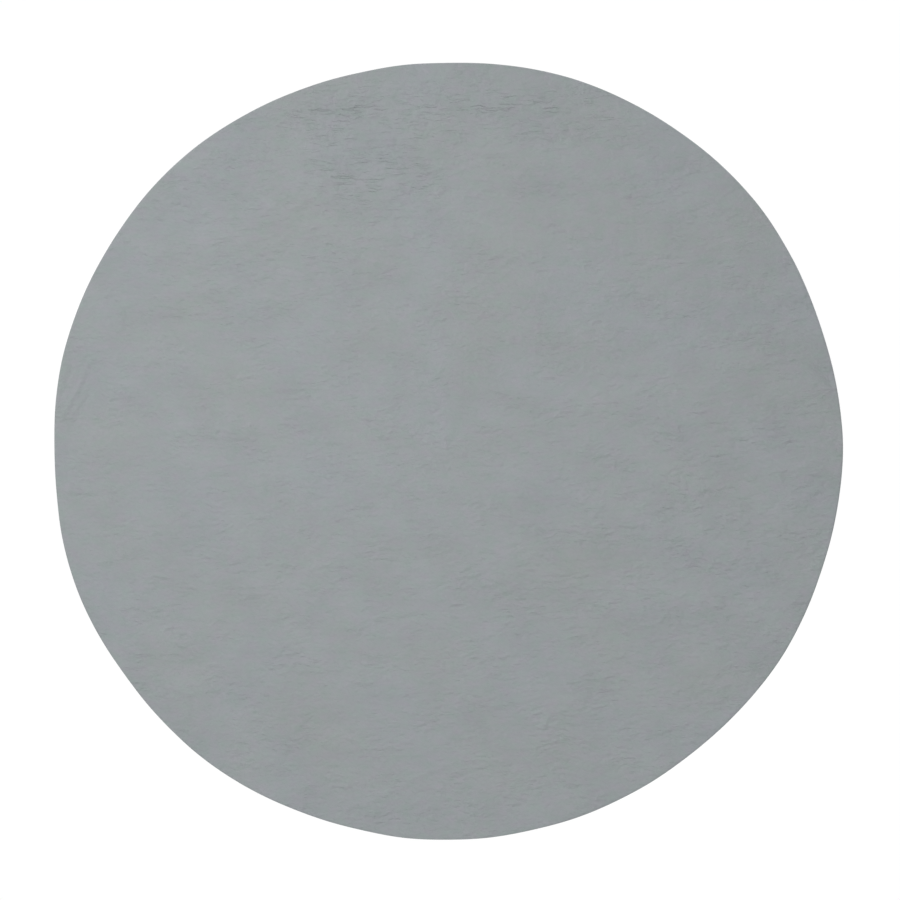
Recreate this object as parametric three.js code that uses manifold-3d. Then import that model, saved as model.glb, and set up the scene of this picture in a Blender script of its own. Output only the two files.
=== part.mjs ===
// Round collapsible backdrop panel.
//
// A flat spring-steel band bent into a hoop holds two cloths taut, like the heads of a drum.
// The front cloth turns over the hoop and is hemmed on the back, so that its face is plain
// right up to the edge. A tape sleeve inside the edge keeps the band in place, and the two ends
// of the band meet in a crimped ferrule at the bottom. A webbing strap at the top hangs it up.
//
// The panel hangs upright: +Z is up and the front faces -Y. The origin is the hanging point,
// the middle of the strap. Millimetres.
//
// The panel collapses by folding in half about its horizontal diameter, front to front. Cloths,
// sleeve, band and stitching are divided there into an upper and a lower piece.

import * as THREE from 'three';
import { mergeVertices } from 'three/addons/utils/BufferGeometryUtils.js';
import Module from 'manifold-3d';

const wasm = await Module();
wasm.setup();

// Outline of the panel: a circle, a little wider than high, flatter at the top than at the
// bottom, and a little fuller at the diagonals. Its long axis leans, anticlockwise from +X.
const PANEL_WIDTH = 1100;
const OVAL = 0.0074;
const FLAT_TOP = 0.0021;
const SQUARENESS = 0.0028;
const LEAN_DEG = 8;
const STEPS_PER_TURN = 96;

// Room between neighbouring pieces, and between the two halves.
const GAP = 0.3;

// Cloth, tape and band.
const CLOTH_THICKNESS = 0.6;
const TAPE_THICKNESS = 0.5;
const BAND_WIDTH = 7;
const BAND_THICKNESS = 1;
const BAND_END_GAP = 1.5;
const FERRULE_WALL = 0.4;
const FERRULE_LENGTH = 45;
const WRAP_THICKNESS = 0.3;
const WRAP_LENGTH = 75;

// Hem on the back, and the two rows of stitching that hold it.
const HEM_WIDTH = 36;
const RIM_ROW_INSET = 8;
const HEM_ROW_INSET = 33;
const THREAD = 0.5;

// Hanging strap: webbing sewn down at both ends, standing off the cloth in the middle.
const STRAP_WIDTH = 20;
const STRAP_THICKNESS = 1.2;
const STRAP_HALF_LENGTH = 48;
const STRAP_SEWN_LENGTH = 16;
const STRAP_HALF_FLAT = 16;
const STRAP_CLEARANCE = 8;
const STRAP_INSET = 22;
const TACK_WIDTH = 12;
const TACK_HEIGHT = 15;

// Blank care label, hanging from the hem's inner edge beside the strap.
const LABEL_WIDTH = 24;
const LABEL_LENGTH = 38;
const LABEL_THICKNESS = 0.3;
const LABEL_X = 95;

// Half depths of the nested pieces at the rim, from the band outwards.
const bandHalf = BAND_WIDTH / 2;
const ferruleHoleHalf = bandHalf + GAP;
const ferruleHalf = ferruleHoleHalf + FERRULE_WALL;
const wrapHoleHalf = ferruleHalf + GAP;
const wrapHalf = wrapHoleHalf + WRAP_THICKNESS;
const sleeveHoleHalf = wrapHalf + GAP;
const sleeveHalf = sleeveHoleHalf + TAPE_THICKNESS;

// Faces of the cloths along Y, with the band's middle at zero.
const frontFace = -(sleeveHalf + GAP + CLOTH_THICKNESS);
const rearClothInside = sleeveHalf + GAP;
const rearClothOutside = rearClothInside + CLOTH_THICKNESS;
const hemInside = rearClothOutside + GAP;
const hemOutside = hemInside + CLOTH_THICKNESS;

// Insets from the outline of the same nested pieces, from the outside in. The band presses
// outwards, so it lies against the outer wall of its ferrule.
const sleeveOuter = CLOTH_THICKNESS + GAP;
const sleeveHoleOuter = sleeveOuter + TAPE_THICKNESS;
const wrapOuter = sleeveHoleOuter + GAP;
const wrapHoleOuter = wrapOuter + WRAP_THICKNESS;
const ferruleOuter = wrapHoleOuter + GAP;
const ferruleHoleOuter = ferruleOuter + FERRULE_WALL;
const bandOuter = ferruleHoleOuter + GAP;
const bandInner = bandOuter + BAND_THICKNESS;
const ferruleHoleInner = bandInner + GAP;
const ferruleInner = ferruleHoleInner + FERRULE_WALL;
const wrapHoleInner = ferruleInner + GAP;
const wrapInner = wrapHoleInner + WRAP_THICKNESS;
const sleeveHoleInner = wrapInner + GAP;
const sleeveInner = sleeveHoleInner + TAPE_THICKNESS;

const BOTTOM = 1.5 * Math.PI;

// The outline's radius as a fraction of its mean.
function outlineShape(angle) {
  const leaning = angle - THREE.MathUtils.degToRad(LEAN_DEG);
  const oval = OVAL * Math.cos(2 * leaning);
  const flat = FLAT_TOP * Math.sin(3 * angle);
  const square = SQUARENESS * Math.cos(4 * leaning);
  return 1 + oval + flat - square;
}

const meanRadius = PANEL_WIDTH / 2 / outlineShape(0);

function outlineRadius(angle) {
  return meanRadius * outlineShape(angle);
}

function outlinePoint(angle, inset) {
  const radius = outlineRadius(angle) - inset;
  return new THREE.Vector2(radius * Math.cos(angle), radius * Math.sin(angle));
}

function outlineArc(inset, from, to) {
  const steps = Math.max(2, Math.ceil((to - from) / (2 * Math.PI) * STEPS_PER_TURN));
  const points = [];
  for (let i = 0; i <= steps; i += 1) {
    points.push(outlinePoint(from + (to - from) * i / steps, inset));
  }
  return points;
}

// Angles that a half covers, a hair short of the fold on both sides.
function halfTurn(half) {
  const trim = GAP / 2 / meanRadius;
  const start = half === 'upper' ? 0 : Math.PI;
  return [start + trim, start + Math.PI - trim];
}

// A shape drawn in the plane of the panel, made solid from depth y0 to depth y1.
function slab(points, y0, y1) {
  const geometry = new THREE.ExtrudeGeometry(new THREE.Shape(points), {
    depth: y1 - y0,
    bevelEnabled: false,
  });
  geometry.rotateX(Math.PI / 2);
  geometry.translate(0, y1, 0);
  return geometry;
}

function halfDisc(half, inset, y0, y1) {
  return slab(outlineArc(inset, ...halfTurn(half)), y0, y1);
}

function ring(outerInset, innerInset, from, to, y0, y1) {
  const outside = outlineArc(outerInset, from, to);
  const inside = outlineArc(innerInset, from, to).reverse();
  return slab([...outside, ...inside], y0, y1);
}

function box(width, depth, height, x, y, z) {
  const geometry = new THREE.BoxGeometry(width, depth, height);
  geometry.translate(x, y, z);
  return geometry;
}

function toSolid(geometry) {
  const bare = geometry.clone();
  bare.deleteAttribute('normal');
  bare.deleteAttribute('uv');
  const merged = mergeVertices(bare, 1e-4);
  return new wasm.Manifold(new wasm.Mesh({
    numProp: 3,
    vertProperties: new Float32Array(merged.attributes.position.array),
    triVerts: new Uint32Array(merged.index.array),
  }));
}

function toGeometry(solid) {
  const mesh = solid.getMesh();
  const geometry = new THREE.BufferGeometry();
  geometry.setAttribute('position', new THREE.BufferAttribute(mesh.vertProperties, 3));
  geometry.setIndex(new THREE.BufferAttribute(mesh.triVerts, 1));
  return geometry;
}

function join(...geometries) {
  return toGeometry(geometries.map(toSolid).reduce((a, b) => a.add(b)));
}

function cut(geometry, tool) {
  return toGeometry(toSolid(geometry).subtract(toSolid(tool)));
}

// A square tube that follows the outline. The hole runs a little past both ends.
function tube(insets, halfDepths, from, to) {
  const [outer, holeOuter, holeInner, inner] = insets;
  const [half, holeHalf] = halfDepths;
  const past = 2 / meanRadius;
  const body = ring(outer, inner, from, to, -half, half);
  const hole = ring(holeOuter, holeInner, from - past, to + past, -holeHalf, holeHalf);
  return cut(body, hole);
}

// The face, the turn over the hoop and the hem on the back are one cloth.
function frontCloth(half) {
  const turn = halfTurn(half);
  return join(
    halfDisc(half, 0, frontFace, frontFace + CLOTH_THICKNESS),
    ring(0, CLOTH_THICKNESS, ...turn, frontFace, hemOutside),
    ring(0, HEM_WIDTH, ...turn, hemInside, hemOutside),
  );
}

function rearCloth(half) {
  return halfDisc(half, sleeveOuter, rearClothInside, rearClothOutside);
}

function bandSleeve(half) {
  const insets = [sleeveOuter, sleeveHoleOuter, sleeveHoleInner, sleeveInner];
  return tube(insets, [sleeveHalf, sleeveHoleHalf], ...halfTurn(half));
}

function springBand(from, to) {
  return ring(bandOuter, bandInner, from, to, -bandHalf, bandHalf);
}

function bottomTube(length, insets, halfDepths) {
  const reach = length / 2 / meanRadius;
  return tube(insets, halfDepths, BOTTOM - reach, BOTTOM + reach);
}

function bandFerrule() {
  const insets = [ferruleOuter, ferruleHoleOuter, ferruleHoleInner, ferruleInner];
  return bottomTube(FERRULE_LENGTH, insets, [ferruleHalf, ferruleHoleHalf]);
}

function ferruleWrap() {
  const insets = [wrapOuter, wrapHoleOuter, wrapHoleInner, wrapInner];
  return bottomTube(WRAP_LENGTH, insets, [wrapHalf, wrapHoleHalf]);
}

function stitching(half, inset) {
  const y0 = hemOutside + GAP;
  return ring(inset, inset + THREAD, ...halfTurn(half), y0, y0 + THREAD);
}

const strapZ = outlineRadius(Math.PI / 2) - STRAP_INSET;
const strapFoot = hemOutside + GAP;
const strapTop = strapFoot + STRAP_CLEARANCE;

// One side of the strap's edge, from its sewn end to its middle, at a distance out from the
// cloth. The rise between them is an S-curve.
function strapEdge(offset) {
  const rise = new THREE.CubicBezierCurve(
    new THREE.Vector2(-STRAP_HALF_LENGTH + STRAP_SEWN_LENGTH, strapFoot + offset),
    new THREE.Vector2(-STRAP_HALF_FLAT - 6, strapFoot + offset),
    new THREE.Vector2(-STRAP_HALF_LENGTH + STRAP_SEWN_LENGTH + 6, strapTop + offset),
    new THREE.Vector2(-STRAP_HALF_FLAT, strapTop + offset),
  );
  const end = new THREE.Vector2(-STRAP_HALF_LENGTH, strapFoot + offset);
  const left = [end, ...rise.getPoints(10)];
  const right = left.map((p) => new THREE.Vector2(-p.x, p.y)).reverse();
  return [...left, ...right];
}

function hangingStrap() {
  const outline = [...strapEdge(0), ...strapEdge(STRAP_THICKNESS).reverse()];
  const geometry = new THREE.ExtrudeGeometry(new THREE.Shape(outline), {
    depth: STRAP_WIDTH,
    bevelEnabled: false,
  });
  geometry.translate(0, 0, strapZ - STRAP_WIDTH / 2);
  return geometry;
}

function strapTack(side) {
  const x = side * (STRAP_HALF_LENGTH - STRAP_SEWN_LENGTH / 2);
  const y = strapFoot + STRAP_THICKNESS + GAP + THREAD / 2;
  return box(TACK_WIDTH, THREAD, TACK_HEIGHT, x, y, strapZ);
}

// The label's upper edge meets the hem's inner edge at the label's outer corner.
function careLabel() {
  const hemRadius = outlineRadius(Math.PI / 2) - HEM_WIDTH;
  const cornerAngle = Math.acos((LABEL_X + LABEL_WIDTH / 2) / hemRadius);
  const top = outlinePoint(cornerAngle, HEM_WIDTH).y - 2 * GAP;
  const y = rearClothOutside + GAP + LABEL_THICKNESS / 2;
  return box(LABEL_WIDTH, LABEL_THICKNESS, LABEL_LENGTH, LABEL_X, y, top - LABEL_LENGTH / 2);
}

const greyCloth = { color: 0x8c9092, roughness: 0.95, metalness: 0 };
const greyTape = { color: 0x6f7375, roughness: 0.9, metalness: 0 };
const springSteel = { color: 0x9a9da0, roughness: 0.35, metalness: 1 };
const crimpSteel = { color: 0xb4b6b8, roughness: 0.45, metalness: 1 };
const blackTape = { color: 0x1c1c1d, roughness: 0.7, metalness: 0 };
const greyThread = { color: 0x7b7f82, roughness: 0.8, metalness: 0 };
const blackWebbing = { color: 0x222325, roughness: 0.85, metalness: 0 };
const whiteSatin = { color: 0xe4e4e0, roughness: 0.6, metalness: 0 };

// The group is moved so that the hanging point, on the strap's inner face, is the origin.
const panel = new THREE.Group();
panel.position.set(0, -strapTop, -strapZ);

function add(name, geometry, finish) {
  const mesh = new THREE.Mesh(geometry, new THREE.MeshStandardMaterial(finish));
  mesh.name = name;
  panel.add(mesh);
}

for (const half of ['upper', 'lower']) {
  add(`front_cloth_${half}`, frontCloth(half), greyCloth);
  add(`rear_cloth_${half}`, rearCloth(half), greyCloth);
  add(`band_sleeve_${half}`, bandSleeve(half), greyTape);
  add(`rim_stitching_${half}`, stitching(half, RIM_ROW_INSET), greyThread);
  add(`hem_stitching_${half}`, stitching(half, HEM_ROW_INSET), greyThread);
}

const [lowerStart, lowerEnd] = halfTurn('lower');
const endTrim = BAND_END_GAP / 2 / meanRadius;
add('spring_band_upper', springBand(...halfTurn('upper')), springSteel);
add('spring_band_lower_left', springBand(lowerStart, BOTTOM - endTrim), springSteel);
add('spring_band_lower_right', springBand(BOTTOM + endTrim, lowerEnd), springSteel);
add('band_ferrule', bandFerrule(), crimpSteel);
add('ferrule_wrap', ferruleWrap(), blackTape);

add('hanging_strap', hangingStrap(), blackWebbing);
add('strap_tack_left', strapTack(-1), greyThread);
add('strap_tack_right', strapTack(1), greyThread);
add('care_label', careLabel(), whiteSatin);

export default panel;
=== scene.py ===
"""Looks of the round collapsible backdrop panel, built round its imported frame.

Metres, +Z up, the front towards -Y.
"""

import math

import bpy
import numpy as np
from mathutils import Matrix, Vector


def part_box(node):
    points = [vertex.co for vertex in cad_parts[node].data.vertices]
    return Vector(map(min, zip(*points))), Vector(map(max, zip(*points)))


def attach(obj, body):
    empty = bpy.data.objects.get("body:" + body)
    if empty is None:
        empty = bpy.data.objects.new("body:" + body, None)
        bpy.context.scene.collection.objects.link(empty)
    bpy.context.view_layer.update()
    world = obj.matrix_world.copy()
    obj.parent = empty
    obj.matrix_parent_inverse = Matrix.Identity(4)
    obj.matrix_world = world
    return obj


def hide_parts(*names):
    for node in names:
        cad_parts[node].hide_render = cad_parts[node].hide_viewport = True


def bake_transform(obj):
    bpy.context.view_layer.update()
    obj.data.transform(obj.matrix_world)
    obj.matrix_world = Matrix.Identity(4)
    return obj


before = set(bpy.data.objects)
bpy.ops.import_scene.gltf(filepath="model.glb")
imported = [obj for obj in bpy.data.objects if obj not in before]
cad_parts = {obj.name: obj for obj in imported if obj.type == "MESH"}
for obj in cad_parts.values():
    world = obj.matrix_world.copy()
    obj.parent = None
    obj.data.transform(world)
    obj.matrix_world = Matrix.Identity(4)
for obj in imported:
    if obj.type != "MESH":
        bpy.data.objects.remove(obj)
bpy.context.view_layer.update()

# ---------------------------------------------------------------- sizes, from the frame

upper_low, upper_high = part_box("front_cloth_upper")
lower_low, lower_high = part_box("front_cloth_lower")
rear_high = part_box("rear_cloth_upper")[1]
band_low, band_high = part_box("spring_band_upper")
strap_low, strap_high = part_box("hanging_strap")
tack_left_low, tack_left_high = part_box("strap_tack_left")
label_low, label_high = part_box("care_label")

MM = 0.001
FRONT_Y = upper_low.y
HEM_Y = upper_high.y
REAR_Y = rear_high.y
FOLD_Z = (upper_low.z + lower_high.z) / 2
DEPTH = HEM_Y - FRONT_Y
BAND_Y = (band_low.y + band_high.y) / 2

# The outline's shape is the same as in the CAD model: wider than high with its long axis leaning a
# little, flatter at the top, fuller at the diagonals.
OVAL = 0.0074
FLAT_TOP = 0.0021
SQUARENESS = 0.0028
LEAN = math.radians(8)

# Flats of the bent band, as (waves round the hoop, height as a fraction of the radius, angle of a crest).
HOOP_FLATS = [
    (5, 0.0019, math.radians(-10.6)),
    (9, 0.0014, math.radians(0.6)),
    (11, 0.0014, math.radians(3.2)),
]

# How far the cloth's edge strays from the hoop. It is less than the sleeve's inset, so the sleeve stays hidden.
CLOTH_UNEVENNESS = 0.55 * MM


def outline_shape(angle):
    """The outline's radius as a fraction of its mean."""
    oval = OVAL * np.cos(2 * (angle - LEAN))
    flat = FLAT_TOP * np.sin(3 * angle)
    square = SQUARENESS * np.cos(4 * (angle - LEAN))
    return 1 + oval + flat - square


MEAN_RADIUS = (upper_high.x - upper_low.x) / 2 / outline_shape(0)

# Insets from the outline.
CORNER = 2.4 * MM
HEM_WIDTH = 36 * MM
HEM_TURNED_UNDER = 9 * MM
RIM_ROW_INSET = 8.25 * MM
HEM_ROW_INSET = 33.25 * MM
REAR_INSET = 1.2 * MM

# Inner parts: insets are (outer, hole outer, hole inner, inner), half depths (outer, hole).
SLEEVE_INSETS = (0.9 * MM, 1.4 * MM, 5.6 * MM, 6.1 * MM)
SLEEVE_HALF_DEPTHS = (5.6 * MM, 5.1 * MM)
BAND_INSETS = (3.0 * MM, 4.0 * MM)
BAND_HALF_DEPTH = (band_high.y - band_low.y) / 2
BAND_GAP = 1.5 * MM
FERRULE_LENGTH = 45 * MM
FERRULE_INSETS = (2.3 * MM, 2.7 * MM, 4.3 * MM, 4.7 * MM)
FERRULE_HALF_DEPTHS = (4.2 * MM, 3.8 * MM)
CRIMP_PLACES = (-16 * MM, -8 * MM, 8 * MM, 16 * MM)
WRAP_LENGTH = 75 * MM
WRAP_INSETS = (1.7 * MM, 2.0 * MM, 5.0 * MM, 5.3 * MM)
WRAP_HALF_DEPTHS = (4.8 * MM, 4.5 * MM)

# Thread, webbing and label. THREAD_SHIFT keeps neighbouring stitches from looking the same.
STITCH_PITCH = 4.2 * MM
STITCH_FILL = 0.86
THREAD_RADIUS = 0.3 * MM
THREAD_SHIFT = 0.37 * MM
TACK_SIZE = (12 * MM, 15 * MM)
STRAP_THICKNESS = 1.2 * MM
STRAP_SEWN_LENGTH = 16 * MM
STRAP_HALF_FLAT = 16 * MM
STRAP_RISE_REACH = 10 * MM
LABEL_CAUGHT = 4 * MM

# ---------------------------------------------------------------- small tools


def lattice_noise(x, y, seed):
    """Smooth noise from -1 to 1 with features about one unit across, the same on every run."""
    size = 128
    table = np.random.default_rng(seed).uniform(-1, 1, (size, size))
    x0, y0 = np.floor(x), np.floor(y)
    fx, fy = x - x0, y - y0
    sx, sy = fx * fx * (3 - 2 * fx), fy * fy * (3 - 2 * fy)
    i, j = x0.astype(int) % size, y0.astype(int) % size
    i1, j1 = (i + 1) % size, (j + 1) % size
    low = table[i, j] * (1 - sx) + table[i1, j] * sx
    high = table[i, j1] * (1 - sx) + table[i1, j1] * sx
    return low * (1 - sy) + high * sy


def smooth_step(value, low, high):
    t = np.clip((value - low) / (high - low), 0, 1)
    return t * t * (3 - 2 * t)


def hoop_radius(angle):
    """The outline with the soft flats that the band takes under the cloth's pull."""
    flats = sum(height * np.cos(waves * (angle - crest)) for waves, height, crest in HOOP_FLATS)
    return MEAN_RADIUS * (outline_shape(angle) + flats)


def cloth_radius(angle):
    """The hoop with the small unevenness of the cloth pulled over it."""
    uneven = lattice_noise(np.cos(angle) * 9 + 30, np.sin(angle) * 9 + 30, 12)
    return hoop_radius(angle) + CLOTH_UNEVENNESS * uneven


def make_mesh(name, points, faces, flat=None):
    """A smooth mesh object. flat, one (x, y, z) for each point, is the cloth's own coordinates in metres."""
    mesh = bpy.data.meshes.new(name)
    mesh.from_pydata(np.asarray(points, float).tolist(), [], faces)
    mesh.polygons.foreach_set("use_smooth", np.ones(len(mesh.polygons), bool))
    if flat is not None:
        attribute = mesh.attributes.new("flat", "FLOAT_VECTOR", "POINT")
        attribute.data.foreach_set("vector", np.asarray(flat, np.float32).ravel())
    mesh.update()
    piece = bpy.data.objects.new(name, mesh)
    bpy.context.scene.collection.objects.link(piece)
    return piece


def disc_rings(count):
    """Radius fractions, angles and triangles of a disc made of rings of 6, 12, 18 ... points."""
    fractions, angles, triangles = [np.zeros(1)], [np.zeros(1)], []
    for ring in range(1, count + 1):
        points = 6 * ring
        fractions.append(np.full(points, ring / count))
        angles.append(np.arange(points) * 2 * math.pi / points)
        outer = 1 + 3 * ring * (ring - 1)
        sector, step = np.divmod(np.arange(points), ring)
        a = outer + np.arange(points)
        b = outer + (np.arange(points) + 1) % points
        if ring == 1:
            triangles.append(np.stack([a, b, np.zeros_like(a)], 1))
            continue
        inner, inner_points = 1 + 3 * (ring - 1) * (ring - 2), 6 * (ring - 1)
        c = inner + (sector * (ring - 1) + step) % inner_points
        d = inner + (sector * (ring - 1) + step + 1) % inner_points
        triangles.append(np.stack([a, b, c], 1))
        between = step < ring - 1
        triangles.append(np.stack([c, b, d], 1)[between])
    return np.concatenate(fractions), np.concatenate(angles), np.concatenate(triangles)


def ring_quads(first, columns, rows, closed=False):
    """Quads between rows of points, each a loop of columns. closed joins the last row to the first."""
    row, column = np.divmod(np.arange(columns * (rows if closed else rows - 1)), columns)
    after = (row + 1) % rows
    beside = (column + 1) % columns
    here, there = row * columns, after * columns
    quads = [here + column, there + column, there + beside, here + beside]
    return (first + np.stack(quads, 1)).tolist()


def place(angle, radius, y):
    return np.stack([radius * np.cos(angle), y + np.zeros_like(angle), FOLD_Z + radius * np.sin(angle)], 1)


# ---------------------------------------------------------------- relief of the cloths

# Soft folds in the stretched cloth, as (start, end, half width, height). Places are fractions of
# the mean radius from the disc's centre, sizes are in millimetres, and a negative height is a dent.
FOLDS = [
    ((-0.984, 0.065), (-0.908, 0.225), 3.4, 2.2),
    ((-0.957, 0.045), (-0.900, 0.16), 3.6, -1.5),
    ((-0.990, 0.12), (-0.945, 0.24), 3.4, -1.4),
    ((-0.986, 0.02), (-0.990, -0.05), 3.0, 1.2),
    ((-0.963, -0.119), (-0.880, -0.122), 2.8, -1.8),
    ((-0.965, -0.06), (-0.958, -0.125), 3.0, 1.0),
    ((-0.90, -0.20), (-0.87, -0.45), 5.0, 0.8),
    ((-0.84, -0.42), (-0.80, -0.60), 5.0, 0.7),
    ((0.940, 0.215), (0.978, 0.152), 3.4, -2.2),
    ((0.935, 0.235), (0.972, 0.190), 4.0, 1.4),
    ((0.96, -0.12), (0.995, -0.10), 4.0, 1.1),
    ((0.380, 0.415), (0.410, 0.455), 3.0, 0.9),
    ((0.372, -0.180), (0.398, -0.145), 3.0, 0.9),
    ((0.238, -0.722), (0.268, -0.680), 3.0, 0.9),
    ((0.910, -0.262), (0.940, -0.228), 3.0, 0.9),
    ((-0.23, -0.92), (-0.02, -0.81), 4.0, 1.0),
    ((0.40, -0.80), (0.62, -0.74), 6.0, 0.6),
    ((-0.72, 0.58), (-0.38, 0.60), 6.0, 0.5),
]


# The cloth's slack, as (level, upright) size of its waves, and their height.
FACE_SLACK = ((200 * MM, 110 * MM), 2.4 * MM)
REAR_SLACK = ((260 * MM, 160 * MM), 2.2 * MM)
GATHER_HEIGHT = 0.9 * MM
REAR_GATHER_HEIGHT = 0.45 * MM


def fold_relief(x, z):
    """The FOLDS, each fading out at its ends and wandering a little."""
    relief = np.zeros_like(x)
    wander = 5 * MM * lattice_noise(x * 22 + 7, z * 22 + 3, 21)
    for start, end, half_width, height in FOLDS:
        a, b = np.array(start) * MEAN_RADIUS, np.array(end) * MEAN_RADIUS
        along = b - a
        length = np.linalg.norm(along)
        along = along / length
        s = (x - a[0]) * along[0] + (z - a[1]) * along[1]
        off = (z - a[1]) * along[0] - (x - a[0]) * along[1] + wander
        ends = smooth_step(s, -0.15 * length, 0.3 * length) * smooth_step(length * 1.15 - s, 0, 0.45 * length)
        relief += height * MM * ends * np.exp(-((off / (half_width * MM)) ** 2))
    return relief


def slackness(x, z, size, height, seed):
    """Soft unevenness of stretched cloth: four layers of noise, each half the size and height of the last."""
    across, up = size
    relief = np.zeros_like(x)
    for layer in range(4):
        finer = 2**layer
        relief += height / finer * lattice_noise(x * finer / across + 9, z * finer / up + 4, seed + layer)
    return relief


def face_relief(x, z, rim_distance):
    """How far the stretched face stands out of its plane. The hoop pins its edge."""
    pinned = smooth_step(rim_distance, 0, 45 * MM)
    edge_pinned = smooth_step(rim_distance, 0, 5 * MM)
    return slackness(x, z, *FACE_SLACK, 31) * pinned + fold_relief(x, z) * edge_pinned


def gathers(angle, inset):
    """Small folds across the hem, from 0 to 1, as its seam draws a straight strip of cloth into a ring."""
    along = angle * MEAN_RADIUS
    close = lattice_noise(along / (13 * MM), inset * 15 + 3, 41)
    wide = lattice_noise(along / (37 * MM), inset * 8 + 5, 42)
    return 0.5 + 0.3 * close + 0.2 * wide


def hem_relief(angle, inset):
    """How far the hem stands off the rear cloth: gathers that grow inwards, drawn down along both seams."""
    inward = smooth_step(inset, 6 * MM, HEM_WIDTH)
    standing = (0.15 + 0.85 * inward) * GATHER_HEIGHT * gathers(angle, inset)
    rows = sum(np.exp(-(((inset - row) / (1.6 * MM)) ** 2)) for row in (RIM_ROW_INSET, HEM_ROW_INSET))
    return standing * (1 - 0.75 * rows)


def rear_relief(angle, rim_distance, x, z):
    """How far the rear cloth stands out: slack in the middle, and short gathers running in from the hem."""
    open_part = smooth_step(rim_distance, HEM_WIDTH - 4 * MM, HEM_WIDTH + 45 * MM)
    slack = slackness(x, z, *REAR_SLACK, 51)
    inward = rim_distance - HEM_WIDTH
    starting = smooth_step(rim_distance, HEM_WIDTH - 6 * MM, HEM_WIDTH + 3 * MM)
    fading = starting * np.exp(-np.maximum(inward, 0) / (28 * MM))
    drawn = lattice_noise(angle * MEAN_RADIUS / (17 * MM), rim_distance * 9, 55)
    return slack * open_part + REAR_GATHER_HEIGHT * drawn * fading


# ---------------------------------------------------------------- pieces

FACE_RINGS = 200
REAR_RINGS = 130


def rim_profile():
    """The front cloth's section from the face's edge to the hem's turned-under edge, as (inset, depth)."""
    arc = np.linspace(0, math.pi / 2, 7)[1:]
    front_corner = [(CORNER - CORNER * math.sin(a), CORNER - CORNER * math.cos(a)) for a in arc]
    wall = [(0, CORNER + (DEPTH - 2 * CORNER) * t) for t in (0.25, 0.5, 0.75, 1)]
    rear_corner = [(CORNER - CORNER * math.cos(a), DEPTH - CORNER + CORNER * math.sin(a)) for a in arc]
    row, half = 1.2 * MM, 0.27 * MM
    fold_inset = HEM_WIDTH - 0.4 * MM
    insets = [4 * MM, 6 * MM, RIM_ROW_INSET - row, RIM_ROW_INSET, RIM_ROW_INSET + row]
    insets += [12 * MM, 15 * MM, 18 * MM, 21 * MM, 24 * MM, 27 * MM, 30 * MM]
    insets += [HEM_ROW_INSET - row, HEM_ROW_INSET, HEM_ROW_INSET + row, fold_inset]
    hem = [(inset, DEPTH) for inset in insets]
    turn = np.linspace(0, math.pi, 6)[1:]
    edge = [(fold_inset + half * math.sin(a), DEPTH - half + half * math.cos(a)) for a in turn]
    under = [(HEM_WIDTH - t * HEM_TURNED_UNDER, DEPTH - 2 * half) for t in (0.3, 0.6, 1)]
    return front_corner + wall + rear_corner + hem + edge + under


def make_front_cloth():
    fraction, angle, triangles = disc_rings(FACE_RINGS)
    face_edge = cloth_radius(angle) - CORNER
    radius = fraction * face_edge
    x, z = radius * np.cos(angle), radius * np.sin(angle)
    points = place(angle, radius, FRONT_Y)
    points[:, 1] -= face_relief(x, z, face_edge - radius)
    flat = [np.stack([x, z, np.zeros_like(x)], 1)]
    columns = 6 * FACE_RINGS
    first = len(points) - columns
    rim_angle = angle[first:]
    outline = cloth_radius(rim_angle)
    rows, travelled, last = [points], 0, (CORNER, 0.0)
    for inset, depth in rim_profile():
        travelled += math.dist((inset, depth), last)
        last = (inset, depth)
        stand = hem_relief(rim_angle, inset) if depth > DEPTH / 2 else 0
        rows.append(place(rim_angle, outline - inset, FRONT_Y + depth + stand))
        reach = outline - CORNER + travelled
        flat.append(np.stack([reach * np.cos(rim_angle), reach * np.sin(rim_angle), np.zeros_like(reach)], 1))
    faces = triangles.tolist() + ring_quads(first, columns, len(rows))
    return make_mesh("front_cloth", np.concatenate(rows), faces, np.concatenate(flat))


def make_rear_cloth():
    fraction, angle, triangles = disc_rings(REAR_RINGS)
    edge = hoop_radius(angle) - REAR_INSET
    radius = fraction * edge
    x, z = radius * np.cos(angle), radius * np.sin(angle)
    points = place(angle, radius, REAR_Y)
    points[:, 1] += rear_relief(angle, edge - radius, x, z)
    flat = np.stack([x, z, np.zeros_like(x)], 1)
    return make_mesh("rear_cloth", points, triangles[:, ::-1].tolist(), flat)


def rounded_section(outer, inner, low, high, corner, steps=3):
    """A rectangle with round corners, as (inset, y) points whose swept ring faces out."""
    corners = [(outer + corner, low + corner), (outer + corner, high - corner)]
    corners += [(inner - corner, high - corner), (inner - corner, low + corner)]
    points = []
    for k, (inset, y) in enumerate(corners):
        for t in np.linspace(k, k + 1, steps + 1) * math.pi / 2:
            points.append((inset - corner * math.sin(t), y - corner * math.cos(t)))
    return points


def end_faces(columns, counts):
    """The faces that close both ends of a swept bar, or join the outer to the inner wall of a swept tube."""
    last = columns - 1
    outer = [k * columns for k in range(counts[0])]
    if len(counts) == 1:
        return [outer[::-1], [v + last for v in outer]]
    inner = [(counts[0] + k) * columns for k in range(counts[1])][::-1]
    faces = []
    for k in range(counts[0]):
        after = (k + 1) % counts[0]
        faces.append([outer[after], outer[k], inner[k], inner[after]])
        faces.append([outer[k] + last, outer[after] + last, inner[after] + last, inner[k] + last])
    return faces


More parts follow.
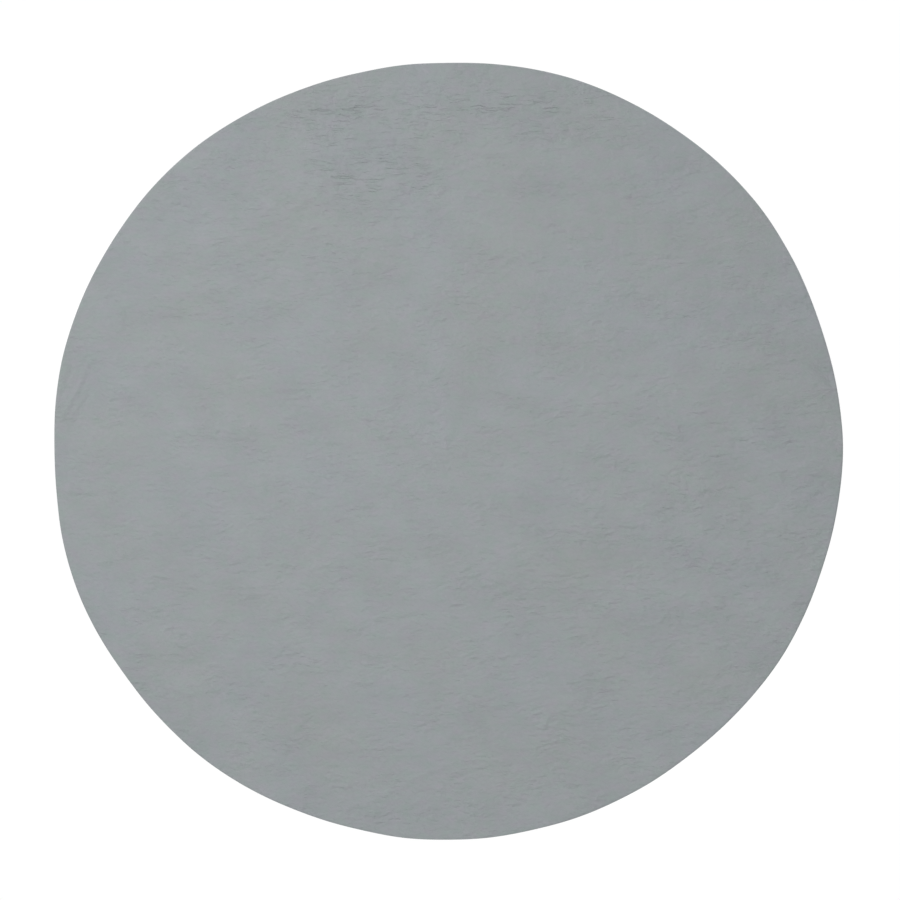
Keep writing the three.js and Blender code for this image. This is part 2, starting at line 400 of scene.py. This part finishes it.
def swept_ring(name, sections, columns, span=None, pinch=None):
    """A bar (one section) or a tube (an outer and an inner section) along the hoop.

    It goes all the way round, or over span, (from, to) angles. pinch(angle) gives how much the section
    narrows there, radially and in depth.
    """
    angle = np.linspace(*(span or (0, 2 * math.pi)), columns, endpoint=span is not None)
    narrow, shallow = pinch(angle) if pinch else (1, 1)
    middle = sum(inset for inset, y in sections[0]) / len(sections[0])
    rows, flat, faces, first = [], [], [], 0
    for turn, section in zip((1, -1), sections):
        travelled, last = 0, section[0]
        for inset, y in section[::turn]:
            travelled += math.dist((inset, y), last)
            last = (inset, y)
            inset_here = middle + (inset - middle) * narrow
            y_here = BAND_Y + (y - BAND_Y) * shallow
            rows.append(place(angle, hoop_radius(angle) - inset_here, y_here))
            flat.append(np.stack([angle * MEAN_RADIUS, np.full(columns, travelled), np.zeros(columns)], 1))
        quads = ring_quads(first, columns, len(section), closed=True)
        faces += quads if span is None else [q for k, q in enumerate(quads) if k % columns < columns - 1]
        first += columns * len(section)
    if span is not None:
        faces += end_faces(columns, [len(section) for section in sections])
    return make_mesh(name, np.concatenate(rows), faces, np.concatenate(flat))


def tube_sections(insets, half_depths, corner):
    """Outer and inner sections from (outer, hole outer, hole inner, inner) insets and half depths."""
    outer, hole_outer, hole_inner, inner = insets
    half, hole_half = half_depths
    thickness = hole_outer - outer
    return [
        rounded_section(outer, inner, BAND_Y - half, BAND_Y + half, corner),
        rounded_section(hole_outer, hole_inner, BAND_Y - hole_half, BAND_Y + hole_half, corner - thickness),
    ]


def bottom_span(length):
    half = length / 2 / MEAN_RADIUS
    return (1.5 * math.pi - half, 1.5 * math.pi + half)


def make_sleeve():
    sections = tube_sections(SLEEVE_INSETS, SLEEVE_HALF_DEPTHS, 1.1 * MM)
    return swept_ring("band_sleeve", sections, 480)


def make_band():
    section = rounded_section(*BAND_INSETS, BAND_Y - BAND_HALF_DEPTH, BAND_Y + BAND_HALF_DEPTH, 0.35 * MM)
    gap = BAND_GAP / MEAN_RADIUS
    return swept_ring("spring_band", [section], 720, span=(-math.pi / 2 + gap / 2, 1.5 * math.pi - gap / 2))


def crimps(angle):
    """Four crimps across the ferrule, two on each end of the band."""
    along = (angle - 1.5 * math.pi) * MEAN_RADIUS
    depth = sum(np.exp(-(((along - centre) / (1.6 * MM)) ** 2)) for centre in CRIMP_PLACES)
    return 1 - 0.17 * depth, 1 - 0.06 * depth


def make_ferrule():
    sections = tube_sections(FERRULE_INSETS, FERRULE_HALF_DEPTHS, 0.6 * MM)
    return swept_ring("crimped_ferrule", sections, 90, bottom_span(FERRULE_LENGTH), crimps)


def shrunk(angle):
    """The wrap is drawn in past the ferrule's ends, with fine wrinkles all along."""
    along = np.abs(angle - 1.5 * math.pi) * MEAN_RADIUS
    drawn = smooth_step(along, FERRULE_LENGTH / 2, WRAP_LENGTH / 2 - 5 * MM)
    wrinkle = lattice_noise(angle * MEAN_RADIUS / (3 * MM), np.full_like(angle, 2.5), 61)
    return 1 - 0.07 * drawn + 0.012 * wrinkle, 1 - 0.05 * drawn + 0.008 * wrinkle


def make_wrap():
    sections = tube_sections(WRAP_INSETS, WRAP_HALF_DEPTHS, 0.8 * MM)
    return swept_ring("shrunk_wrap", sections, 120, bottom_span(WRAP_LENGTH), shrunk)


def stitches(name, starts, ends, up, radius, lift):
    """Separate stitches, each a short arc of thread that dips into the cloth at both of its ends."""
    stations, sides = np.linspace(0, 1, 6), 6
    turns = np.arange(sides) * 2 * math.pi / sides
    along = (ends - starts) / np.linalg.norm(ends - starts, axis=1, keepdims=True)
    beside = np.cross(up, along)
    arch = np.sin(math.pi * stations) ** 0.6
    centre = starts[:, None] + (ends - starts)[:, None] * stations[:, None]
    centre = centre + up[:, None] * (lift * arch - radius * (1 - arch))[:, None]
    around = np.cos(turns)[:, None] * up[:, None] + np.sin(turns)[:, None] * beside[:, None]
    thick = radius * (0.5 + 0.5 * arch)
    points = centre[:, :, None] + thick[:, None, None] * around[:, None]
    count, rows = len(starts), len(stations)
    one = np.array(ring_quads(0, sides, rows))
    first = np.arange(count) * sides * rows
    faces = (first[:, None, None] + one).reshape(-1, 4).tolist()
    near, far = np.arange(sides)[::-1], np.arange(sides) + sides * (rows - 1)
    faces += np.concatenate([first[:, None] + near, first[:, None] + far]).tolist()
    flat = np.zeros_like(points)
    lengths = np.linalg.norm(ends - starts, axis=1)[:, None]
    flat[..., 0] = (np.arange(count)[:, None] * THREAD_SHIFT + stations * lengths)[:, :, None]
    flat[..., 1] = turns * radius
    return make_mesh(name, points.reshape(-1, 3), faces, flat.reshape(-1, 3))


def make_stitch_row(name, inset):
    """A lockstitch row all round the hem."""
    count = round(2 * math.pi * (MEAN_RADIUS - inset) / STITCH_PITCH)
    angle = np.arange(count) * 2 * math.pi / count
    half = 0.5 * STITCH_FILL * 2 * math.pi / count
    slant = 0.12 * MM
    ends = []
    for turn, shift in ((angle - half, slant), (angle + half, -slant)):
        inset_here = inset + shift
        surface = HEM_Y + hem_relief(turn, inset_here)
        ends.append(place(turn, cloth_radius(turn) - inset_here, surface))
    up = np.tile((0.0, 1.0, 0.0), (count, 1))
    return stitches(name, *ends, up, THREAD_RADIUS, 0.22 * MM)


def make_tack(name, x_middle):
    """A box of stitches with a cross in it, through one end of the strap."""
    z_middle, y = (strap_low.z + strap_high.z) / 2, tack_left_low.y - 0.25 * MM
    half_width, half_height = TACK_SIZE[0] / 2, TACK_SIZE[1] / 2
    corners = [(-half_width, -half_height), (half_width, -half_height)]
    corners += [(half_width, half_height), (-half_width, half_height)]
    lines = [(corners[k], corners[(k + 1) % 4]) for k in range(4)]
    lines += [(corners[0], corners[2]), (corners[1], corners[3])]
    starts, ends = [], []
    for a, b in lines:
        a, b = np.array(a), np.array(b)
        steps = round(np.linalg.norm(b - a) / (2.2 * MM))
        for k in range(steps):
            for t, side in ((k + 0.08, starts), (k + 0.92, ends)):
                x, z = a + (b - a) * t / steps
                side.append((x_middle + x, y, z_middle + z))
    up = np.tile((0.0, 1.0, 0.0), (len(starts), 1))
    return stitches(name, np.array(starts), np.array(ends), up, 0.27 * MM, 0.2 * MM)


def ribbon(name, path, across, width, thickness, corner, width_steps=6):
    """A flat strip along path, width wide along the across direction, closed all over."""
    tangent = np.gradient(path, axis=0)
    tangent /= np.linalg.norm(tangent, axis=1, keepdims=True)
    out = np.cross(tangent, across)
    section = []
    centres = [(width / 2 - corner, corner - thickness / 2), (width / 2 - corner, thickness / 2 - corner)]
    centres += [(corner - width / 2, thickness / 2 - corner), (corner - width / 2, corner - thickness / 2)]
    for k, (a, o) in enumerate(centres):
        for t in np.linspace(k - 1, k, 4) * math.pi / 2:
            section.append((a + corner * math.cos(t), o + corner * math.sin(t)))
        if k % 2:
            next_a = centres[(k + 1) % 4][0]
            edge_o = math.copysign(thickness / 2, o)
            section += [(a + (next_a - a) * s / width_steps, edge_o) for s in range(1, width_steps)]
    section = np.array(section[::-1])
    rows, columns = len(path), len(section)
    points = path[:, None] + section[:, 0, None] * np.array(across) + section[:, 1, None] * out[:, None]
    length = np.concatenate([[0], np.cumsum(np.linalg.norm(np.diff(path, axis=0), axis=1))])
    flat = np.zeros_like(points)
    flat[..., 0] = (length - length[-1] / 2)[:, None]
    flat[..., 1] = section[:, 0]
    faces = ring_quads(0, columns, rows)
    faces.append(list(range(columns)))
    faces.append([columns * (rows - 1) + k for k in reversed(range(columns))])
    return make_mesh(name, points.reshape(-1, 3), faces, flat.reshape(-1, 3))


def s_curve(start, end, reach, steps):
    """A cubic curve between two points in X and Y that leaves and arrives level."""
    t = np.linspace(0, 1, steps)[:, None]
    a, d = np.array(start), np.array(end)
    b, c = a + (reach, 0), d - (reach, 0)
    return a * (1 - t) ** 3 + 3 * b * t * (1 - t) ** 2 + 3 * c * t**2 * (1 - t) + d * t**3


def make_strap():
    """Webbing sewn down at both ends, standing off the hem in the middle, where a hook goes behind it."""
    thickness = STRAP_THICKNESS
    foot, top = strap_low.y + thickness / 2, strap_high.y - thickness / 2
    sewn_x, flat_x = strap_low.x + STRAP_SEWN_LENGTH, -STRAP_HALF_FLAT
    ends = np.stack([np.linspace(strap_low.x, sewn_x, 14, endpoint=False), np.full(14, foot)], 1)
    rise = s_curve((sewn_x, foot), (flat_x, top), STRAP_RISE_REACH, 24)
    middle = np.stack([np.linspace(flat_x, 0, 12)[1:], np.full(11, top)], 1)
    left = np.concatenate([ends, rise, middle])
    right = left[-2::-1] * (-1, 1)
    path = np.concatenate([left, right])
    z = np.full(len(path), (strap_low.z + strap_high.z) / 2)
    width = strap_high.z - strap_low.z
    return ribbon("webbing_strap", np.column_stack([path, z]), (0, 0, 1), width, thickness, 0.55 * MM)


def make_label():
    """A satin tag caught under the hem, lifting a little towards its free end."""
    length, steps = label_high.z - label_low.z + LABEL_CAUGHT, 30
    s = np.linspace(0, 1, steps)
    z = label_high.z + LABEL_CAUGHT - s * length
    y = label_low.y + 0.15 * MM + 2.2 * MM * smooth_step(s, 0.2, 1.1) ** 1.5
    path = np.stack([np.full(steps, (label_low.x + label_high.x) / 2), y, z], 1)
    width = label_high.x - label_low.x
    return ribbon("blank_label", path, (1, 0, 0), width, 0.28 * MM, 0.12 * MM)


# ---------------------------------------------------------------- materials


class Finish:
    """One material and the short calls that build its nodes."""

    def __init__(self, name, **sockets):
        self.material = bpy.data.materials.new(name)
        self.material.use_nodes = True
        self.nodes = self.material.node_tree.nodes
        self.links = self.material.node_tree.links
        self.surface = self.nodes["Principled BSDF"]
        for socket, value in sockets.items():
            self.surface.inputs[socket.replace("_", " ")].default_value = value

    def feed(self, socket, value):
        if isinstance(value, bpy.types.NodeSocket):
            self.links.new(value, socket)
        else:
            socket.default_value = value

    def node(self, kind, inputs=(), **settings):
        node = self.nodes.new("ShaderNode" + kind)
        for key, value in settings.items():
            setattr(node, key, value)
        for key, value in dict(inputs).items():
            self.feed(node.inputs[key], value)
        return node.outputs

    def math(self, operation, *values):
        return self.node("Math", enumerate(values), operation=operation)[0]

    def vector_math(self, operation, *values):
        return self.node("VectorMath", enumerate(values), operation=operation)[0]

    def flat(self):
        return self.node("Attribute", attribute_name="flat")["Vector"]

    def noise(self, where, size, detail=2.0, roughness=0.5):
        """Noise from about -0.5 to 0.5 whose features measure size = (along, across), in metres."""
        scaled = self.vector_math("MULTIPLY", where, (1 / size[0], 1 / size[1], 1))
        inputs = {"Vector": scaled, "Scale": 1.0, "Detail": detail, "Roughness": roughness}
        value = self.node("TexNoise", inputs, noise_dimensions="2D")["Fac"]
        return self.math("SUBTRACT", value, 0.5)

    def ramp(self, value, low, high, to_low=0.0, to_high=1.0):
        inputs = {"Value": value, "From Min": low, "From Max": high, "To Min": to_low, "To Max": to_high}
        return self.node("MapRange", inputs, interpolation_type="SMOOTHSTEP")["Result"]

    def patch(self, parts, across, up, soft, unit):
        """1 inside a rectangle with soft edges and 0 outside it. The numbers are multiples of unit."""
        inside = 1.0
        for axis, (low, high) in (("X", across), ("Y", up)):
            low, high, edge = low * unit, high * unit, soft * unit
            inside = self.math("MULTIPLY", inside, self.ramp(parts[axis], low - edge, low + edge))
            inside = self.math("MULTIPLY", inside, self.ramp(parts[axis], high + edge, high - edge))
        return inside

    def weighted_sum(self, *terms):
        """The sum of value * weight over (value, weight) pairs."""
        total = 0.0
        for value, weight in terms:
            total = self.math("MULTIPLY_ADD", value, weight, total)
        return total

    def colour(self, base, change, *drifts):
        """The base colour made lighter or darker by change, a fraction. Each drift is a value and the
        red, green and blue that it adds, as fractions too."""
        factor = self.node("CombineXYZ", dict.fromkeys("XYZ", self.math("ADD", change, 1.0)))[0]
        for value, towards in drifts:
            hue = self.node("CombineXYZ", dict.fromkeys("XYZ", value))[0]
            factor = self.vector_math("MULTIPLY_ADD", hue, towards, factor)
        self.feed(self.surface.inputs["Base Color"], self.vector_math("MULTIPLY", factor, base))

    def bump(self, height):
        """height is in metres."""
        inputs = {"Height": height, "Strength": 1.0, "Distance": 1.0}
        self.feed(self.surface.inputs["Normal"], self.node("Bump", inputs)["Normal"])


# Where the front cloth is more or less crinkled: (left, right), (bottom, top) in fractions of the mean
# radius from the disc's centre, the softness of the edge, and what is added to the strength of the
# crinkles and of the long creases.
CRINKLED = [
    ((-0.38, 0.28), (0.862, 0.888), 0.02, 0.1, 1.6),
    ((-0.42, 0.45), (0.80, 0.93), 0.06, 0.6, 1.6),
    ((-0.36, -0.02), (0.64, 0.77), 0.06, 0.5, 1.8),
    ((-0.75, -0.10), (0.35, 0.90), 0.15, 0.35, 0.8),
    ((0.10, 0.95), (-0.80, -0.20), 0.25, 0.35, 0.2),
    ((0.55, 1.0), (-0.30, 0.45), 0.15, 0.3, 0.1),
    ((-1.1, -0.55), (-0.60, 0.30), 0.20, -0.25, 0.0),
]


def crinkled_cloth_finish(name, base, amount, patches=(), start=(0, 0, 0)):
    """Brushed cloth with fine, mostly level crinkles. amount scales them, and start shifts their pattern."""
    finish = Finish(name, Roughness=0.92, Specular_IOR_Level=0.2, Sheen_Weight=0.06, Sheen_Roughness=0.5)
    flat = finish.vector_math("ADD", finish.flat(), start)
    parts = finish.node("SeparateXYZ", {"Vector": flat})
    unevenness = finish.noise(flat, (0.06, 0.035), 1.0)
    crinkle_strength = finish.ramp(unevenness, -0.12, 0.15, 0.45 * amount, 1.5 * amount)
    crease_strength = 0.10 * amount
    for across, up, soft, crinkle_gain, crease_gain in patches:
        patch = finish.patch(parts, across, up, soft, MEAN_RADIUS)
        crinkle_strength = finish.math("MULTIPLY_ADD", patch, crinkle_gain, crinkle_strength)
        crease_strength = finish.math("MULTIPLY_ADD", patch, crease_gain, crease_strength)

    def wandering(size, reach, detail):
        """The same places moved up or down by noise, which bends level creases."""
        wander = finish.math("MULTIPLY", finish.noise(flat, size, detail), reach)
        return finish.vector_math("MULTIPLY_ADD", (0.0, 1.0, 0.0), wander, flat)

    softly = wandering((0.06, 0.05), 0.012, 1.0)
    sharply = wandering((0.013, 0.012), 0.006, 2.0)
    crinkle = finish.noise(softly, (0.018, 0.0082), 4.0, 0.48)
    crease_noise = finish.noise(sharply, (0.065, 0.0070), 1.0)
    crease_place = finish.ramp(finish.noise(flat, (0.032, 0.012), 1.0), -0.12, 0.06)
    ridge = finish.ramp(finish.math("ABSOLUTE", crease_noise), 0.0, 0.10, 1.0, 0.0)
    crease = finish.math("MULTIPLY", finish.math("MULTIPLY", ridge, crease_place), crease_strength)
    nap = finish.noise(flat, (0.0062, 0.0044), 2.0, 0.5)
    relief = finish.math("MULTIPLY", crinkle, finish.math("MULTIPLY", crinkle_strength, 0.0019))
    finish.bump(finish.math("ADD", relief, finish.weighted_sum((crease, 0.00028), (nap, 0.0008))))
    blotch = finish.noise(flat, (0.08, 0.055), 3.0, 0.55)
    # Painted shade in the colour: the crinkle term darkens the cloth where the crinkle relief is low, painted
    # shade in its folds. The nap term does the same for the nap's fine relief, together with the fibres' own
    # mottling. The blotch term is the cloth's own patchy tone.
    tone_and_painted_shade = finish.weighted_sum((blotch, 0.13), (crinkle, 0.03), (nap, 0.06))
    hue = finish.noise(flat, (0.022, 0.015), 2.0, 0.6)
    broad_hue = finish.noise(flat, (0.13, 0.12), 2.0, 0.6)
    finish.colour(base, tone_and_painted_shade, (hue, (0.145, -0.06, 0.10)), (broad_hue, (0.0, 0.0, 0.065)))
    return finish.material


def plain_cloth_finish(name, base, size=(0.0012, 0.0012), **sockets):
    finish = Finish(name, Roughness=0.93, Specular_IOR_Level=0.2, **sockets)
    flat = finish.flat()
    weave = finish.noise(flat, size, 2.0)
    finish.bump(finish.math("MULTIPLY", weave, 0.00006))
    finish.colour(base, finish.weighted_sum((weave, 0.12), (finish.noise(flat, (0.08, 0.06)), 0.04)))
    return finish.material


def webbing_finish():
    finish = Finish("webbing", Roughness=0.75, Sheen_Weight=0.25)
    flat = finish.flat()
    parts = finish.node("SeparateXYZ", {"Vector": flat})
    ribs = finish.math("SINE", finish.math("MULTIPLY", parts["X"], 2 * math.pi / 0.0016))
    cords = finish.math("SINE", finish.math("MULTIPLY", parts["Y"], 2 * math.pi / 0.0021))
    weave = finish.math("MULTIPLY", ribs, cords)
    finish.bump(finish.weighted_sum((ribs, 0.00006), (weave, 0.00008)))
    wear = finish.noise(flat, (0.004, 0.004))
    finish.colour((0.02, 0.021, 0.023), finish.weighted_sum((weave, 0.3), (wear, 0.5)))
    return finish.material


def metal_finish(name, base, roughness, grain=(0.03, 0.0002)):
    finish = Finish(name, Metallic=1.0)
    brushed = finish.noise(finish.flat(), grain, 3.0)
    finish.feed(finish.surface.inputs["Roughness"], finish.math("MULTIPLY_ADD", brushed, 0.25, roughness))
    finish.colour(base, finish.weighted_sum((brushed, 0.25)))
    finish.bump(finish.math("MULTIPLY", brushed, 0.00001))
    return finish.material


def floor_finish():
    finish = Finish("floor", Roughness=0.9, Specular_IOR_Level=0.15)
    where = finish.node("TexCoord")["Object"]
    finish.colour((0.8, 0.8, 0.8), finish.weighted_sum((finish.noise(where, (0.6, 0.6)), 0.02)))
    return finish.material


def dress(piece, material):
    piece.data.materials.append(material)


# ---------------------------------------------------------------- stage, light and camera

CENTRE = Vector((0, FRONT_Y, FOLD_Z))
CAMERA_DISTANCE = 6.0
PANEL_SHARE_OF_FRAME = 0.8767
CAMERA_SHIFT = Vector((0.0041, 0, -0.0005))
FLOOR_DROP = 0.36
FLOOR_DEPTHS = (-7.0, 2.1)
FLOOR_HALF_WIDTH = 6.0


def aim(piece, target):
    piece.rotation_euler = (Vector(target) - piece.location).to_track_quat("-Z", "Y").to_euler()


def add_camera():
    camera = bpy.data.objects.new("camera", bpy.data.cameras.new("camera"))
    bpy.context.scene.collection.objects.link(camera)
    frame_width = (upper_high.x - upper_low.x) / PANEL_SHARE_OF_FRAME
    camera.data.sensor_width = 36
    camera.data.lens = 36 * CAMERA_DISTANCE / frame_width
    camera.location = CENTRE + CAMERA_SHIFT - Vector((0, CAMERA_DISTANCE, 0))
    camera.rotation_euler = (math.pi / 2, 0, 0)
    bpy.context.scene.camera = camera


def add_area_light(name, place_from_centre, size, watts, target=(0, 0, 0)):
    light = bpy.data.objects.new(name, bpy.data.lights.new(name, "AREA"))
    bpy.context.scene.collection.objects.link(light)
    light.data.shape = "DISK"
    light.data.size = size
    light.data.energy = watts
    light.location = CENTRE + Vector(place_from_centre)
    aim(light, CENTRE + Vector(target))


def add_sun(name, direction, strength, spread_deg):
    light = bpy.data.objects.new(name, bpy.data.lights.new(name, "SUN"))
    bpy.context.scene.collection.objects.link(light)
    light.data.energy = strength
    light.data.angle = math.radians(spread_deg)
    light.location = CENTRE + Vector(direction) * 3
    aim(light, CENTRE)


def add_world():
    """White paper behind the panel, and a dimmer room in front of it that looks paler than it lights."""
    world = bpy.data.worlds.new("studio")
    world.use_nodes = True
    nodes, links = world.node_tree.nodes, world.node_tree.links
    parts = nodes.new("ShaderNodeSeparateXYZ")
    links.new(nodes.new("ShaderNodeTexCoord").outputs["Generated"], parts.inputs["Vector"])
    room = nodes.new("ShaderNodeMath")
    room.operation = "MULTIPLY_ADD"
    links.new(nodes.new("ShaderNodeLightPath").outputs["Is Camera Ray"], room.inputs[0])
    room.inputs[1].default_value = ROOM_SEEN - ROOM_LIGHT
    room.inputs[2].default_value = ROOM_LIGHT
    strength = nodes.new("ShaderNodeMapRange")
    strength.interpolation_type = "SMOOTHSTEP"
    for socket, value in (("From Min", -0.25), ("From Max", 0.35), ("To Max", PAPER_LIGHT)):
        strength.inputs[socket].default_value = value
    links.new(room.outputs["Value"], strength.inputs["To Min"])
    links.new(parts.outputs["Y"], strength.inputs["Value"])
    background = nodes["Background"]
    background.inputs["Color"].default_value = (1, 1, 1, 1)
    links.new(strength.outputs["Result"], background.inputs["Strength"])
    bpy.context.scene.world = world


def add_floor():
    """It ends close behind the panel, so that the front view shows only white paper."""
    near, far = FLOOR_DEPTHS
    side = FLOOR_HALF_WIDTH
    corners = [(-side, near), (side, near), (side, far), (-side, far)]
    mesh = bpy.data.meshes.new("floor")
    mesh.from_pydata([(x, y, 0) for x, y in corners], [], [(0, 1, 2, 3)])
    floor = bpy.data.objects.new("floor", mesh)
    floor.location = (0, FRONT_Y, lower_low.z - FLOOR_DROP)
    bpy.context.scene.collection.objects.link(floor)
    mesh.materials.append(floor_finish())


ROOM_LIGHT = 0.285
ROOM_SEEN = 0.8
PAPER_LIGHT = 1.01

bpy.context.scene.view_settings.view_transform = "Standard"
add_camera()
add_world()
add_area_light("key", (-0.44, -1.6, 0.42), 0.5, 9, (-0.44, 0, 0.42))
add_sun("top_light", (-0.45, -0.75, 1.2), 1.38, 10)
add_area_light("back_light", (2.4, 1.3, 2.2), 0.8, 50)
add_floor()

# ---------------------------------------------------------------- the panel

front_cloth = make_front_cloth()
rear_cloth = make_rear_cloth()
sleeve = make_sleeve()
band = make_band()
rim_stitching = make_stitch_row("rim_stitches", RIM_ROW_INSET)
hem_stitching = make_stitch_row("hem_stitches", HEM_ROW_INSET)
ferrule = make_ferrule()
wrap = make_wrap()
strap = make_strap()
left_tack = make_tack("strap_tack_stitches_left", (tack_left_low.x + tack_left_high.x) / 2)
right_tack = make_tack("strap_tack_stitches_right", -(tack_left_low.x + tack_left_high.x) / 2)
label = make_label()

grey_thread = plain_cloth_finish("thread", (0.2, 0.215, 0.22), (0.0009, 0.0003), Sheen_Weight=0.2)
satin = plain_cloth_finish("label_satin", (0.75, 0.75, 0.72), (0.0008, 0.003), Sheen_Weight=0.3)
front_finish = crinkled_cloth_finish("front_cloth", (0.300, 0.3235, 0.332), 1.0, CRINKLED)
rear_finish = crinkled_cloth_finish("rear_cloth", (0.26, 0.28, 0.29), 0.8, start=(3.0, 5.0, 0.0))
dress(front_cloth, front_finish)
dress(rear_cloth, rear_finish)
dress(sleeve, plain_cloth_finish("sleeve_tape", (0.16, 0.17, 0.175)))
dress(band, metal_finish("spring_steel", (0.34, 0.35, 0.36), 0.32))
dress(ferrule, metal_finish("crimp_steel", (0.45, 0.46, 0.47), 0.4, (0.004, 0.002)))
dress(wrap, plain_cloth_finish("wrap_tape", (0.015, 0.015, 0.016), (0.002, 0.004)))
dress(rim_stitching, grey_thread)
dress(hem_stitching, grey_thread)
dress(left_tack, grey_thread)
dress(right_tack, grey_thread)
dress(strap, webbing_finish())
dress(label, satin)

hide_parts("front_cloth_upper", "front_cloth_lower")
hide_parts("rear_cloth_upper", "rear_cloth_lower")
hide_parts("band_sleeve_upper", "band_sleeve_lower")
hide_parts("spring_band_upper", "spring_band_lower_left", "spring_band_lower_right")
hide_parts("rim_stitching_upper", "rim_stitching_lower")
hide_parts("hem_stitching_upper", "hem_stitching_lower")
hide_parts("band_ferrule")
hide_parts("ferrule_wrap")
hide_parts("hanging_strap")
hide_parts("strap_tack_left")
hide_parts("strap_tack_right")
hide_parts("care_label")

for piece in (front_cloth, rear_cloth, sleeve, band, rim_stitching, hem_stitching):
    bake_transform(piece)
for piece in (strap, left_tack, right_tack, label):
    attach(piece, "upper_half")
for piece in (ferrule, wrap):
    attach(piece, "lower_half")
